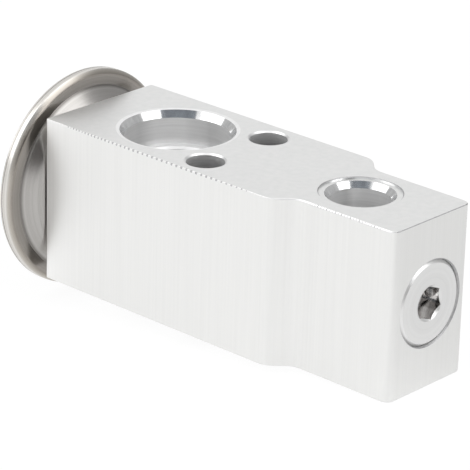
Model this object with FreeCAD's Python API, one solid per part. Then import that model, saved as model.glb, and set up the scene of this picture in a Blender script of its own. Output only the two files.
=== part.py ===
import FreeCAD, Part
import math
import os
from FreeCAD import Vector

# Expansion valve of the block kind, in millimetres.
# The block lies on its back face. X runs along the valve axis from the power head to the
# adjusting plug, Z points out of the face with the liquid inlet, and Y runs across the block.
# The origin is midway between the two bolt holes, on the back face.

# Block
block_thickness = 28.0
head_end_width = 24.4
plug_end_width = 18.0
waist_start_x = 16.3
waist_radius = 3.5
waist_angle = 45.0
waist_arc_share = 0.9
plug_end_corner_radius = 1.5
edge_break = 0.25

# Places along the valve axis, each from its neighbour
bolt_line_to_suction = 13.0
suction_to_head_end = 17.9
bolt_line_to_outlet = 14.6
outlet_to_inlet = 11.0
inlet_to_plug_end = 14.5

# Bolt holes
bolt_pitch = 14.7
bolt_hole_diameter = 6.2
bolt_mouth_chamfer = 0.44

# Suction ports, alike on both faces
suction_rim_diameter = 19.8
suction_rim_depth = 0.12
suction_mouth_diameter = 18.9
suction_mouth_depth = 1.3
suction_bore_diameter = 17.4
suction_bore_depth = 5.8
suction_passage_diameter = 14.0
suction_ledge_chamfer = 0.4

# Liquid inlet port, in the front face
inlet_rim_diameter = 13.0
inlet_rim_depth = 0.3
inlet_mouth_diameter = 11.2
inlet_mouth_depth = 1.27
inlet_bore_diameter = 9.74
inlet_bore_depth = 6.6
inlet_passage_diameter = 6.4

# Outlet port to the evaporator, in the back face
outlet_rim_diameter = 16.4
outlet_rim_depth = 0.3
outlet_mouth_diameter = 14.4
outlet_mouth_depth = 1.3
outlet_bore_diameter = 12.8
outlet_bore_depth = 6.0
outlet_passage_diameter = 8.0
outlet_passage_past_axis = 2.0

# Round sections of rings and wire are drawn with this many flats
section_sides = 8

# Drilled holes end in a cone, this deep for each millimetre of radius and this wide at its tip
drill_tip_slope = 0.5
drill_point_diameter = 0.2

# Shapes that cut run this far past the faces they leave by
overshoot = 1.0

# Fits
thread_clearance = 0.05
running_clearance = 0.05
ring_clearance = 0.04
seat_gap = 0.03
stroke_clearance = 0.3

# Motion
valve_stroke = 0.8
plug_travel = 1.25

# Power head
head_diameter = 37.12
flange_width = 2.6
flange_thickness = 1.45
flange_bevel_width = 0.76
flange_bevel_height = 0.65
cover_rise = 2.1
cover_slope_width = 2.86
head_standoff = 0.2
upper_cover_thickness = 0.4
diaphragm_thickness = 0.1
rim_seam_depth = 0.2
rim_break = 0.15
dome_slope_width = 1.9
dome_height = 4.2
dome_shoulder_rise = 2.4
dome_shoulder_bend = 1.6
dome_crown_diameter = 17.0
dome_crown_bend = 5.0
dimple_diameter = 7.6
dimple_depth = 0.9
dimple_bend = 0.9
bend_steps = 2
fill_hole_diameter = 2.4
fill_plug_head_diameter = 4.4
fill_plug_head_height = 1.3
fill_plug_stem_length = 1.1
corrugation_count = 3
corrugation_height = 0.36
corrugation_margin = 0.6

# Head neck, its socket in the block and its seal
neck_diameter = 18.0
neck_length = 6.3
neck_bore_diameter = 13.0
neck_chamfer = 0.5
socket_floor_gap = 0.7
equalising_bore_diameter = 11.0
head_seal_section = 1.5

# Diaphragm stop and rod
stop_diameter = 18.2
stop_thickness = 0.85
stop_stem_diameter = 8.4
stop_stem_length = 4.2
stop_corner = 0.4
rod_diameter = 5.0
rod_socket_depth = 3.1
rod_chamfer = 0.35
rod_reach_past_bolt_line = 4.0

# Rod seal gland, cut into the web from the suction passage
gland_depth = 2.8
rod_seal_section = 1.4
retainer_thickness = 0.4
retainer_gap = 0.15
retainer_teeth = 10
retainer_tooth_depth = 0.7
retainer_slot_width = 0.5
retainer_bore_clearance = 0.2

# Pin, orifice and ball
pin_diameter = 2.2
orifice_diameter = 3.8
orifice_length = 1.1
seat_cone_depth = 0.7
ball_diameter = 5.6
chamber_diameter = 12.0

# Ball carrier and its damper
carrier_cup_diameter = 4.8
carrier_rim = 0.2
carrier_flange_thickness = 1.2
carrier_cup_floor_diameter = 1.6
carrier_hub_diameter = 5.4
carrier_hub_length = 2.5
carrier_chamfer = 0.3
damper_thickness = 0.3
damper_ring_diameter = 8.0
damper_leg_count = 3
damper_leg_angle = 22.0
damper_first_leg = -90.0
damper_leg_length = 3.3
damper_leg_inset = 0.5
damper_wall_clearance = 0.04

# Coil spring
spring_wire_diameter = 1.0
spring_outer_diameter = 8.4
spring_active_turns = 4.0
spring_end_turns = 0.75
spring_end_gap = 0.02
spring_ground_share = 0.25
spring_steps_per_turn = 20

# Adjusting plug
plug_thread_diameter = 14.0
plug_thread_length = 5.2
plug_nose_length = 3.5
plug_nose_diameter = 12.0
plug_face_chamfer = 0.5
plug_mouth_chamfer = 0.12
plug_cup_clearance = 0.2
plug_cup_depth = 3.7
plug_socket_flats = 5.0
plug_socket_depth = 3.4
plug_socket_turn = 10.0
plug_socket_mouth_diameter = 6.3
plug_socket_mouth_depth = 0.5
plug_socket_drill_diameter = 4.6
plug_seal_section = 0.95
plug_seal_land = 0.75

# Worked out from the sizes above
axis_z = block_thickness / 2
suction_x = -bolt_line_to_suction
head_end_x = suction_x - suction_to_head_end
outlet_x = bolt_line_to_outlet
inlet_x = outlet_x + outlet_to_inlet
plug_end_x = inlet_x + inlet_to_plug_end

seat_wall_x = outlet_x + outlet_passage_diameter / 2
seat_cone_x = seat_wall_x + orifice_length
chamber_floor_x = seat_cone_x + seat_cone_depth
ball_radius = ball_diameter / 2
carrier_diameter = spring_outer_diameter + 2 * carrier_rim
ball_x = seat_cone_x - orifice_diameter / 2 + math.sqrt(2) * (ball_radius + seat_gap)
pin_end_x = ball_x - ball_radius
carrier_front_x = ball_x + math.sqrt(2) * ball_radius - carrier_cup_diameter / 2
carrier_back_x = carrier_front_x + carrier_flange_thickness
spring_start_x = carrier_back_x + damper_thickness

plug_shoulder_x = plug_end_x - plug_thread_length
plug_nose_x = plug_shoulder_x - plug_nose_length
plug_cup_floor_x = plug_nose_x + plug_cup_depth
thread_bore_start_x = plug_shoulder_x - plug_travel - stroke_clearance

cover_face_x = head_end_x - head_standoff
flange_face_x = cover_face_x - cover_rise
diaphragm_face_x = flange_face_x - flange_thickness
upper_cover_face_x = diaphragm_face_x - diaphragm_thickness
head_seal_floor_x = cover_face_x + head_seal_section + 2 * ring_clearance
neck_end_x = head_end_x + neck_length
socket_floor_x = neck_end_x + socket_floor_gap
stop_back_x = diaphragm_face_x + seat_gap + stop_thickness
cover_inside_x = stop_back_x + valve_stroke + stroke_clearance
stop_stem_end_x = stop_back_x + stop_stem_length
rod_start_x = stop_stem_end_x - rod_socket_depth
rod_end_x = rod_reach_past_bolt_line
rod_bore_end_x = rod_end_x + valve_stroke + stroke_clearance

web_x = suction_x + suction_passage_diameter / 2
gland_floor_x = web_x + gland_depth
gland_radius = rod_diameter / 2 + rod_seal_section + 2 * ring_clearance


def along_x(radius, start, end):
    """Cylinder on the valve axis between two places along X."""
    return Part.makeCylinder(radius, end - start, Vector(start, 0, axis_z), Vector(1, 0, 0))


def turned_on_axis(points, angle=360):
    """Solid of revolution about the valve axis from (x, radius) points."""
    corners = [Vector(x, 0, axis_z + radius) for x, radius in points]
    face = Part.Face(Part.makePolygon(corners + corners[:1]))
    return face.revolve(Vector(0, 0, axis_z), Vector(1, 0, 0), angle)


def cone_x(radius, end_radius, start, end):
    """Cone frustum on the valve axis."""
    return turned_on_axis([(start, 0), (start, radius), (end, end_radius), (end, 0)])


def ring_x(middle_x, middle_radius, section):
    """Ring about the valve axis whose section has flats that touch the stated circle."""
    half_step = math.pi / section_sides
    reach = section / 2 / math.cos(half_step)
    points = []
    for side in range(section_sides):
        angle = (2 * side + 1) * half_step
        points.append((middle_x + reach * math.cos(angle), middle_radius + reach * math.sin(angle)))
    return turned_on_axis(points)


def drill_tip(diameter, end_diameter):
    """Depth of a drill's cone between two diameters."""
    return (diameter - end_diameter) / 2 * drill_tip_slope


def port_cut(x, y, steps, from_front):
    """Turned hole square to a face, from (diameter, depth) steps below that face."""
    face_z = block_thickness if from_front else 0.0
    inward = -1 if from_front else 1
    above = Vector(x, y, face_z - inward * overshoot)
    corners = [above, above + Vector(steps[0][0] / 2, 0, 0)]
    corners += [Vector(x + diameter / 2, y, face_z + inward * depth) for diameter, depth in steps]
    corners.append(Vector(x, y, face_z + inward * steps[-1][1]))
    face = Part.Face(Part.makePolygon(corners + corners[:1]))
    return face.revolve(Vector(x, y, 0), Vector(0, 0, 1), 360)


def bent_line(points, radii):
    """Line through (x, radius) points, each corner with a bend radius drawn as short chords."""
    places = [Vector(x, radius, 0) for x, radius in points]
    line = [places[0]]
    for before, corner, after, bend in zip(places, places[1:], places[2:], radii):
        arrive = (corner - before).normalize()
        leave = (after - corner).normalize()
        turn = arrive.getAngle(leave)
        centre = corner + (leave - arrive).normalize() * (bend / math.cos(turn / 2))
        first = corner - arrive * (bend * math.tan(turn / 2)) - centre
        way = Vector(0, 0, 1) if arrive.cross(leave).z > 0 else Vector(0, 0, -1)
        steps = bend_steps if bend else 0
        for step in range(steps + 1):
            swing = FreeCAD.Rotation(way, math.degrees(turn * step / max(steps, 1)))
            line.append(centre + swing.multVec(first))
    line.append(places[-1])
    return line


def pressed_outline(points, radii, thickness):
    """Outline of a turned sheet: points of its far side, with bends, thickened towards +X."""
    far = bent_line(points, radii)
    ways = [(end - start).normalize() for start, end in zip(far, far[1:])]
    sides = [Vector(-way.y, way.x, 0) for way in ways]
    near = [far[0] + sides[0] * thickness]
    for corner, side, next_side in zip(far[1:], sides, sides[1:]):
        mitre = (side + next_side).normalize()
        near.append(corner + mitre * (thickness / mitre.dot(side)))
    near.append(far[-1] + sides[-1] * thickness)
    return [(place.x, place.y) for place in far + near[::-1]]


def block_outline():
    """Plan of the block: wide at the head, with a waist of two arcs and a slope on each side."""
    wide = head_end_width / 2
    narrow = plug_end_width / 2
    steepest = math.acos(1 - (wide - narrow) / (2 * waist_radius))
    slope = min(math.radians(waist_angle), steepest * waist_arc_share)
    reach = waist_radius * math.sin(slope)
    sag = waist_radius * (1 - math.cos(slope))
    half_reach = waist_radius * math.sin(slope / 2)
    half_sag = waist_radius * (1 - math.cos(slope / 2))
    slope_run = (wide - narrow - 2 * sag) / math.tan(slope)
    waist_end_x = waist_start_x + 2 * reach + slope_run
    edges = []
    for side in (-1, 1):
        a = Vector(waist_start_x, side * wide, 0)
        b = Vector(waist_start_x + reach, side * (wide - sag), 0)
        c = Vector(waist_end_x - reach, side * (narrow + sag), 0)
        d = Vector(waist_end_x, side * narrow, 0)
        a_b = Vector(waist_start_x + half_reach, side * (wide - half_sag), 0)
        c_d = Vector(waist_end_x - half_reach, side * (narrow + half_sag), 0)
        edges.append(Part.LineSegment(Vector(head_end_x, side * wide, 0), a).toShape())
        edges.append(Part.Arc(a, a_b, b).toShape())
        edges.append(Part.LineSegment(b, c).toShape())
        edges.append(Part.Arc(c, c_d, d).toShape())
        edges.append(Part.LineSegment(d, Vector(plug_end_x, side * narrow, 0)).toShape())
    for x, half in ((head_end_x, wide), (plug_end_x, narrow)):
        edges.append(Part.LineSegment(Vector(x, -half, 0), Vector(x, half, 0)).toShape())
    return Part.Wire(Part.__sortEdges__(edges))


def block_body():
    """Extruded bar with round corners at the plug's end and all its other sharp edges broken."""
    bar = Part.Face(block_outline()).extrude(Vector(0, 0, block_thickness))
    bar = bar.makeFillet(plug_end_corner_radius, upright_edges(bar, plug_end_x))
    cut_edges = upright_edges(bar, head_end_x)
    for edge in bar.Edges:
        height = edge.CenterOfMass.z
        if abs(height) < 0.01 or abs(height - block_thickness) < 0.01:
            cut_edges.append(edge)
    return bar.makeChamfer(edge_break, cut_edges)


def upright_edges(body, x):
    """Edges along Z at one place along X."""
    found = []
    for edge in body.Edges:
        first, last = edge.Vertexes[0].Point, edge.Vertexes[-1].Point
        at_place = abs(first.x - x) + abs(last.x - x) < 0.01
        if at_place and abs(first.z - last.z) > 0.01 and abs(first.y - last.y) < 0.01:
            found.append(edge)
    return found


def suction_port(from_front):
    steps = [
        (suction_rim_diameter, 0),
        (suction_mouth_diameter, suction_rim_depth),
        (suction_bore_diameter, suction_mouth_depth),
        (suction_bore_diameter, suction_bore_depth),
        (suction_passage_diameter + 2 * suction_ledge_chamfer, suction_bore_depth),
        (suction_passage_diameter, suction_bore_depth + suction_ledge_chamfer),
        (suction_passage_diameter, axis_z + overshoot),
    ]
    return port_cut(suction_x, 0, steps, from_front)


def inlet_port():
    bore_tip = drill_tip(inlet_bore_diameter, inlet_passage_diameter)
    steps = [
        (inlet_rim_diameter, 0),
        (inlet_rim_diameter, inlet_rim_depth),
        (inlet_mouth_diameter, inlet_rim_depth),
        (inlet_bore_diameter, inlet_mouth_depth),
        (inlet_bore_diameter, inlet_bore_depth),
        (inlet_passage_diameter, inlet_bore_depth + bore_tip),
        (inlet_passage_diameter, axis_z),
    ]
    return port_cut(inlet_x, 0, steps, True)


def outlet_port():
    bore_tip = drill_tip(outlet_bore_diameter, outlet_passage_diameter)
    passage_end = axis_z + outlet_passage_past_axis
    passage_tip = drill_tip(outlet_passage_diameter, drill_point_diameter)
    steps = [
        (outlet_rim_diameter, 0),
        (outlet_rim_diameter, outlet_rim_depth),
        (outlet_mouth_diameter, outlet_rim_depth),
        (outlet_bore_diameter, outlet_mouth_depth),
        (outlet_bore_diameter, outlet_bore_depth),
        (outlet_passage_diameter, outlet_bore_depth + bore_tip),
        (outlet_passage_diameter, passage_end),
        (drill_point_diameter, passage_end + passage_tip),
    ]
    return port_cut(outlet_x, 0, steps, False)


def bolt_hole(y):
    steps = [
        (bolt_hole_diameter + 2 * bolt_mouth_chamfer, 0),
        (bolt_hole_diameter, bolt_mouth_chamfer),
        (bolt_hole_diameter, axis_z + overshoot),
    ]
    return port_cut(0, y, steps, True).fuse(port_cut(0, y, steps, False))


def head_socket():
    """Threaded socket for the head's neck, the seat of its seal, and the way to the suction gas."""
    seal_radius = neck_diameter / 2 + head_seal_section + 2 * ring_clearance
    return turned_on_axis([
        (head_end_x - overshoot, 0),
        (head_end_x - overshoot, seal_radius),
        (head_seal_floor_x, seal_radius),
        (head_seal_floor_x, neck_diameter / 2),
        (socket_floor_x, neck_diameter / 2),
        (socket_floor_x, equalising_bore_diameter / 2),
        (suction_x, equalising_bore_diameter / 2),
        (suction_x, 0),
    ])


def valve_axis_bores():
    """Gland, rod bore, pin bore, orifice, seat cone, spring chamber and plug thread, in line."""
    rod_bore = rod_diameter / 2 + running_clearance
    pin_bore = pin_diameter / 2 + running_clearance
    gland = along_x(gland_radius, suction_x, gland_floor_x)
    rod = along_x(rod_bore, suction_x, rod_bore_end_x)
    pin = along_x(pin_bore, rod_end_x, outlet_x)
    rod_tip = cone_x(rod_bore, pin_bore, rod_bore_end_x, rod_bore_end_x + rod_bore - pin_bore)
    orifice = along_x(orifice_diameter / 2, outlet_x, chamber_floor_x)
    seat = cone_x(orifice_diameter / 2, orifice_diameter / 2 + seat_cone_depth, seat_cone_x, chamber_floor_x)
    chamber = along_x(chamber_diameter / 2, chamber_floor_x, plug_end_x - overshoot)
    thread = along_x(plug_thread_diameter / 2, thread_bore_start_x, plug_end_x + overshoot)
    mouth_radius = plug_thread_diameter / 2 + plug_mouth_chamfer
    mouth = cone_x(mouth_radius - overshoot, mouth_radius + overshoot,
                   plug_end_x - overshoot, plug_end_x + overshoot)
    return [gland, rod, rod_tip, pin, orifice, seat, chamber, thread, mouth]


def valve_block():
    cuts = [suction_port(True), suction_port(False), inlet_port(), outlet_port(), head_socket()]
    cuts += [bolt_hole(side * bolt_pitch / 2) for side in (-1, 1)]
    block = block_body()
    for cut in cuts + valve_axis_bores():
        block = block.cut(cut)
    return block.removeSplitter()


def head_lower_cover():
    """Pressed cover with a bevelled flange and a threaded neck, all one piece."""
    rim = head_diameter / 2
    flange_end = rim - flange_width
    slope_end = flange_end - cover_slope_width
    neck = neck_diameter / 2 - thread_clearance
    return turned_on_axis([
        (diaphragm_face_x, rim),
        (flange_face_x - flange_bevel_height, rim),
        (flange_face_x, rim - flange_bevel_width),
        (flange_face_x, flange_end),
        (cover_face_x, slope_end),
        (cover_face_x, neck),
        (neck_end_x - neck_chamfer, neck),
        (neck_end_x, neck - neck_chamfer),
        (neck_end_x, neck_bore_diameter / 2),
        (cover_inside_x, neck_bore_diameter / 2),
        (cover_inside_x, slope_end),
        (diaphragm_face_x, flange_end),
    ])


def head_upper_cover():
    """Pressed dome with a flat rim and a dimple round its charging hole."""
    rim = head_diameter / 2
    foot = rim - flange_width
    outer_face_x = upper_cover_face_x - upper_cover_thickness
    crown_x = outer_face_x - dome_height
    dimple_x = crown_x + dimple_depth
    points = [
        (outer_face_x, rim),
        (outer_face_x, foot),
        (outer_face_x - dome_shoulder_rise, foot - dome_slope_width),
        (crown_x, dome_crown_diameter / 2),
        (crown_x, dimple_diameter / 2),
        (dimple_x, dimple_diameter / 2 - dimple_depth),
        (dimple_x, fill_hole_diameter / 2),
    ]
    bends = [0, dome_shoulder_bend, dome_crown_bend, dimple_bend, 0]
    outline = pressed_outline(points, bends, upper_cover_thickness)
    rim_corner = [(outer_face_x + rim_break, rim), (outer_face_x, rim - rim_break)]
    return turned_on_axis(rim_corner + outline[1:])


def head_fill_plug():
    """Charging hole's plug: a stem in the hole under a low conical head."""
    seat_x = upper_cover_face_x - upper_cover_thickness - dome_height + dimple_depth
    stem = fill_hole_diameter / 2 - ring_clearance
    head = fill_plug_head_diameter / 2
    top_x = seat_x - fill_plug_head_height
    return turned_on_axis([
        (seat_x + fill_plug_stem_length, 0),
        (seat_x + fill_plug_stem_length, stem),
        (seat_x, stem),
        (seat_x, head),
        (seat_x - fill_plug_head_height / 3, head),
        (top_x, head / 2),
        (top_x, 0),
    ])


def head_diaphragm():
    """Thin disc clamped at the rim, flat over the stop, with ring waves between."""
    rim = head_diameter / 2 - rim_seam_depth
    clamp = head_diameter / 2 - flange_width - corrugation_margin
    pad = stop_diameter / 2 + corrugation_margin
    step = (clamp - pad) / (4 * corrugation_count)
    wave = [(0, rim), (0, clamp)]
    for turn in range(corrugation_count):
        foot = clamp - 4 * step * turn
        wave.append((corrugation_height / 2, foot - step))
        wave.append((-corrugation_height / 2, foot - 3 * step))
    wave += [(0, pad), (0, 0)]
    near = [(diaphragm_face_x + offset, radius) for offset, radius in wave]
    far = [(upper_cover_face_x + offset, radius) for offset, radius in reversed(wave)]
    return turned_on_axis(near + far)


def head_seal():
    middle = neck_diameter / 2 + ring_clearance + head_seal_section / 2
    middle_x = head_seal_floor_x - ring_clearance - head_seal_section / 2
    return ring_x(middle_x, middle, head_seal_section)


def diaphragm_stop():
    """Flanged pad under the diaphragm, with a stem that takes the rod's end."""
    front_x = diaphragm_face_x + seat_gap
    stem = stop_stem_diameter / 2
    return turned_on_axis([
        (front_x, 0),
        (front_x, stop_diameter / 2),
        (stop_back_x, stop_diameter / 2),
        (stop_back_x, stem + stop_corner),
        (stop_back_x + stop_corner, stem),
        (stop_stem_end_x, stem),
        (stop_stem_end_x, rod_diameter / 2),
        (rod_start_x, rod_diameter / 2),
        (rod_start_x, 0),
    ])


def sensing_rod():
    radius = rod_diameter / 2
    return turned_on_axis([
        (rod_start_x, 0),
        (rod_start_x, radius - rod_chamfer),
        (rod_start_x + rod_chamfer, radius),
        (rod_end_x - rod_chamfer, radius),
        (rod_end_x, radius - rod_chamfer),
        (rod_end_x, 0),
    ])


def rod_seal():
    middle = rod_diameter / 2 + ring_clearance + rod_seal_section / 2
    return ring_x(gland_floor_x - ring_clearance - rod_seal_section / 2, middle, rod_seal_section)


def rod_seal_retainer():
    """Push ring with slots between its teeth, gripping the gland's wall."""
    seal_front_x = gland_floor_x - ring_clearance - rod_seal_section
    back_x = seal_front_x - retainer_gap
    ring = along_x(gland_radius, back_x - retainer_thickness, back_x)
    bore = rod_diameter / 2 + retainer_bore_clearance
    ring = ring.cut(along_x(bore, back_x - overshoot, back_x + overshoot))
    slot = Part.makeBox(3 * retainer_thickness, retainer_slot_width, 2 * retainer_tooth_depth)
    slot_foot = axis_z + gland_radius - retainer_tooth_depth
    slot.translate(Vector(back_x - 2 * retainer_thickness, -retainer_slot_width / 2, slot_foot))
    for tooth in range(retainer_teeth):
        cut = slot.copy()
        cut.rotate(Vector(0, 0, axis_z), Vector(1, 0, 0), 360 * (tooth + 0.5) / retainer_teeth)
        ring = ring.cut(cut)
    return ring


def actuating_pin():
    return along_x(pin_diameter / 2, rod_end_x, pin_end_x)


def valve_ball():
    return Part.makeSphere(ball_radius, Vector(ball_x, 0, axis_z))


def ball_carrier():
    """Cup that holds the ball on a cone, with a flange for the spring and a hub inside it."""
    cup = carrier_cup_diameter / 2
    cup_floor = carrier_cup_floor_diameter / 2
    flange = carrier_diameter / 2
    hub = carrier_hub_diameter / 2
    hub_end_x = carrier_back_x + carrier_hub_length
    return turned_on_axis([
        (carrier_front_x + cup - cup_floor, 0),
        (carrier_front_x + cup - cup_floor, cup_floor),
        (carrier_front_x, cup),
        (carrier_front_x, flange - carrier_chamfer),
        (carrier_front_x + carrier_chamfer, flange),
        (carrier_back_x, flange),
        (carrier_back_x, hub),
        (hub_end_x - carrier_chamfer, hub),
        (hub_end_x, hub - carrier_chamfer),
        (hub_end_x, 0),
    ])


def damper_spring():
    """Sheet ring under the coil spring, with bent legs that rub on the chamber's wall."""
    wall = chamber_diameter / 2 - damper_wall_clearance
    hub = carrier_hub_diameter / 2 + running_clearance
    tip_x = spring_start_x - damper_leg_length
    bow_x = (tip_x + carrier_back_x) / 2
    spring = along_x(damper_ring_diameter / 2, carrier_back_x, spring_start_x)
    leg_section = [
        (spring_start_x, hub),
        (spring_start_x, wall - damper_leg_inset),
        (bow_x, wall),
        (tip_x, wall - damper_leg_inset),
        (tip_x, wall - damper_leg_inset - damper_thickness),
        (bow_x, wall - damper_thickness),
        (carrier_back_x, wall - damper_leg_inset - damper_thickness),
        (carrier_back_x, hub),
    ]
    for number in range(damper_leg_count):
        leg = turned_on_axis(leg_section, damper_leg_angle)
        turn = damper_first_leg - 90 - damper_leg_angle / 2 + 360 * number / damper_leg_count
        leg.rotate(Vector(0, 0, axis_z), Vector(1, 0, 0), turn)
        spring = spring.fuse(leg)
    hole = along_x(hub, carrier_back_x - overshoot, spring_start_x + overshoot)
    return spring.cut(hole).removeSplitter()


def coil_path():
    """Points along the spring's wire: a closed end, the open turns, a closed end."""
    length = plug_cup_floor_x - spring_start_x
    closed_pitch = spring_wire_diameter + spring_end_gap
    wire_to_wire = length - spring_wire_diameter * (1 - 2 * spring_ground_share)
    open_pitch = (wire_to_wire - 2 * spring_end_turns * closed_pitch) / spring_active_turns
    turns = 2 * spring_end_turns + spring_active_turns
    coil_radius = (spring_outer_diameter - spring_wire_diameter) / 2
    first_x = spring_start_x + spring_wire_diameter * (0.5 - spring_ground_share)
    count = round(turns * spring_steps_per_turn)
    path = []
    for step in range(count + 1):
        turn = turns * step / count
        opened = min(max(turn - spring_end_turns, 0), spring_active_turns)
        x = first_x + opened * open_pitch + (turn - opened) * closed_pitch
        angle = 2 * math.pi * turn
        path.append(Vector(x, coil_radius * math.sin(angle), axis_z - coil_radius * math.cos(angle)))
    return path


def superheat_spring():
    """Compression coil with closed, flat-ground ends between the carrier and the plug."""
    path = coil_path()
    along = (path[1] - path[0]).normalize()
    across = along.cross(Vector(0, 0, -1)).normalize()
    outward = across.cross(along)
    step = 2 * math.pi / section_sides
    area = math.pi * spring_wire_diameter ** 2 / 4
    reach = math.sqrt(2 * area / (section_sides * math.sin(step)))
    section = []
    for side in range(section_sides + 1):
        angle = (side + 0.5) * step
        section.append(path[0] + outward * (reach * math.cos(angle)) + across * (reach * math.sin(angle)))
    spine = Part.makePolygon(path)
    mitred_corners = 1
    coil = spine.makePipeShell([Part.makePolygon(section)], True, True, mitred_corners)
    return coil.common(along_x(spring_outer_diameter, spring_start_x, plug_cup_floor_x))


def hexagon_prism(flats, start, end):
    """Six-sided prism on the valve axis."""
    radius = flats / math.sqrt(3)
    corners = []
    for side in range(7):
        angle = math.radians(60 * side + plug_socket_turn)
        corners.append(Vector(start, -radius * math.sin(angle), axis_z + radius * math.cos(angle)))
    return Part.Face(Part.makePolygon(corners)).extrude(Vector(end - start, 0, 0))


def adjusting_plug():
    """Threaded plug with a hexagon socket outside, a spring cup inside and a seal groove."""
    thread = plug_thread_diameter / 2 - thread_clearance
    nose = plug_nose_diameter / 2 - running_clearance
    cup = spring_outer_diameter / 2 + plug_cup_clearance
    groove = plug_nose_diameter / 2 - plug_seal_section - 2 * ring_clearance
    groove_start_x = plug_nose_x + plug_seal_land
    groove_end_x = groove_start_x + plug_seal_section + 2 * ring_clearance
    plug = turned_on_axis([
        (plug_nose_x, cup),
        (plug_nose_x, nose),
        (groove_start_x, nose),
        (groove_start_x, groove),
        (groove_end_x, groove),
        (groove_end_x, nose),
        (plug_shoulder_x, nose),
        (plug_shoulder_x, thread),
        (plug_end_x - plug_face_chamfer, thread),
        (plug_end_x, thread - plug_face_chamfer),
        (plug_end_x, 0),
        (plug_cup_floor_x, 0),
        (plug_cup_floor_x, cup),
    ])
    key_floor_x = plug_end_x - plug_socket_depth
    plug = plug.cut(hexagon_prism(plug_socket_flats, key_floor_x, plug_end_x + overshoot))
    mouth = plug_socket_mouth_diameter / 2
    slope = mouth - plug_socket_flats / 2
    plug = plug.cut(cone_x(mouth - slope, mouth, plug_end_x - plug_socket_mouth_depth, plug_end_x))
    drill = plug_socket_drill_diameter
    tip_x = key_floor_x - drill_tip(drill, drill_point_diameter)
    return plug.cut(cone_x(drill_point_diameter / 2, drill / 2, tip_x, key_floor_x))


def plug_seal():
    groove = plug_nose_diameter / 2 - plug_seal_section - 2 * ring_clearance
    middle_x = plug_nose_x + plug_seal_land + ring_clearance + plug_seal_section / 2
    return ring_x(middle_x, groove + ring_clearance + plug_seal_section / 2, plug_seal_section)


pieces = [
    valve_block,
    head_lower_cover,
    head_upper_cover,
    head_fill_plug,
    head_diaphragm,
    head_seal,
    diaphragm_stop,
    sensing_rod,
    rod_seal,
    rod_seal_retainer,
    actuating_pin,
    valve_ball,
    ball_carrier,
    damper_spring,
    superheat_spring,
    adjusting_plug,
    plug_seal,
]

os.makedirs("parts", exist_ok=True)
for piece in pieces:
    shape = piece()
    if not shape.isValid() or len(shape.Solids) != 1:
        print(piece.__name__, "valid", shape.isValid(), "solids", len(shape.Solids))
    shape.exportStep("parts/" + piece.__name__ + ".step")
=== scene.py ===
import math

import bmesh
import bpy
from mathutils import Matrix, Vector


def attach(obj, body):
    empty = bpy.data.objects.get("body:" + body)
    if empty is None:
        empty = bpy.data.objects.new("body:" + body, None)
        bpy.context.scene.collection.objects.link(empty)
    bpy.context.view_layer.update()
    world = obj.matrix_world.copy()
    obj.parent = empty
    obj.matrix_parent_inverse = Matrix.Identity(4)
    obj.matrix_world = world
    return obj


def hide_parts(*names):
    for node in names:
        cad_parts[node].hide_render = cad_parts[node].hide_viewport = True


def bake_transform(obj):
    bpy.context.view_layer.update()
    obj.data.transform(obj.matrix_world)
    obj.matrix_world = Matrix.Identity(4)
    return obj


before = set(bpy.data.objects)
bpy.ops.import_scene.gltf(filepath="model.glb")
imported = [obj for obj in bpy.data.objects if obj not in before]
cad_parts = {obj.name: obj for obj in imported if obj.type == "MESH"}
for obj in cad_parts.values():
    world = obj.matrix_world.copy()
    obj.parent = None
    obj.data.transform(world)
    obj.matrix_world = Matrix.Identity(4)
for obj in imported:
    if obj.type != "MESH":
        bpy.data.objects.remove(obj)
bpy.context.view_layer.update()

# Lengths are in millimetres up to mesh(), which turns them into metres.
MM = 0.001
ROUND_STEPS = 128

# The block, as in the CAD part
AXIS_Z = 14.0
BLOCK_THICKNESS = 28.0
HEAD_END_X = -30.9
PLUG_END_X = 40.1
WIDE = 12.2
NARROW = 9.0
WAIST_START_X = 16.3
WAIST_RADIUS = 3.5
WAIST_ANGLE = math.radians(45)
HEAD_CORNER_RADIUS = 0.25
PLUG_CORNER_RADIUS = 1.5
EDGE_BREAK = 0.25
SHARP_EDGE = 0.07
END_EDGE = 0.14
FRONT_EDGE = 0.22
SUCTION_X = -13.0
OUTLET_X = 14.6
INLET_X = 25.6
BOLT_Y = 7.35

# Walls of the ports and bolt holes, as (diameter, depth) steps below the face they start from
BOLT_RADIUS = 3.1
SUCTION_WALL = [(20.1, 0), (18.9, 0.14), (17.4, 1.3), (17.4, 5.8), (14.8, 5.8), (14.0, 6.2), (14.0, 15.0)]
INLET_WALL = [(13.3, 0), (13.0, 0.14), (13.0, 0.3), (11.2, 0.3), (9.74, 1.27), (9.74, 6.6), (6.4, 7.435),
              (6.4, 14.0)]
OUTLET_WALL = [(16.7, 0), (16.4, 0.14), (16.4, 0.3), (14.4, 0.3), (12.8, 1.3), (12.8, 6.0), (8.0, 7.2),
               (8.0, 16.0), (0.2, 17.95)]
BOLT_WALL = [(6.76, 0), (2 * BOLT_RADIUS, 0.25), (2 * BOLT_RADIUS, 15.0)]

# Bores on the valve axis, as (x, radius) points: for the head and its seal, the rod and pin, the plug
PLUG_BORE_RADIUS = 7.0
HEAD_BORE = [(-31.9, 0), (-31.9, 10.58), (-29.52, 10.58), (-29.52, 9.0), (-23.9, 9.0), (-23.9, 5.5),
             (-13.0, 5.5), (-13.0, 0)]
ROD_BORE = [(-13.0, 0), (-13.0, 3.98), (-3.2, 3.98), (-3.2, 2.55), (5.1, 2.55), (6.5, 1.15), (14.6, 1.15),
            (14.6, 0)]
PLUG_BORE = [(14.6, 0), (14.6, 1.9), (19.7, 1.9), (20.4, 2.6), (20.4, 6.0), (33.35, 6.0),
             (33.35, PLUG_BORE_RADIUS), (39.92, PLUG_BORE_RADIUS), (41.1, 8.18), (41.1, 0)]

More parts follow.
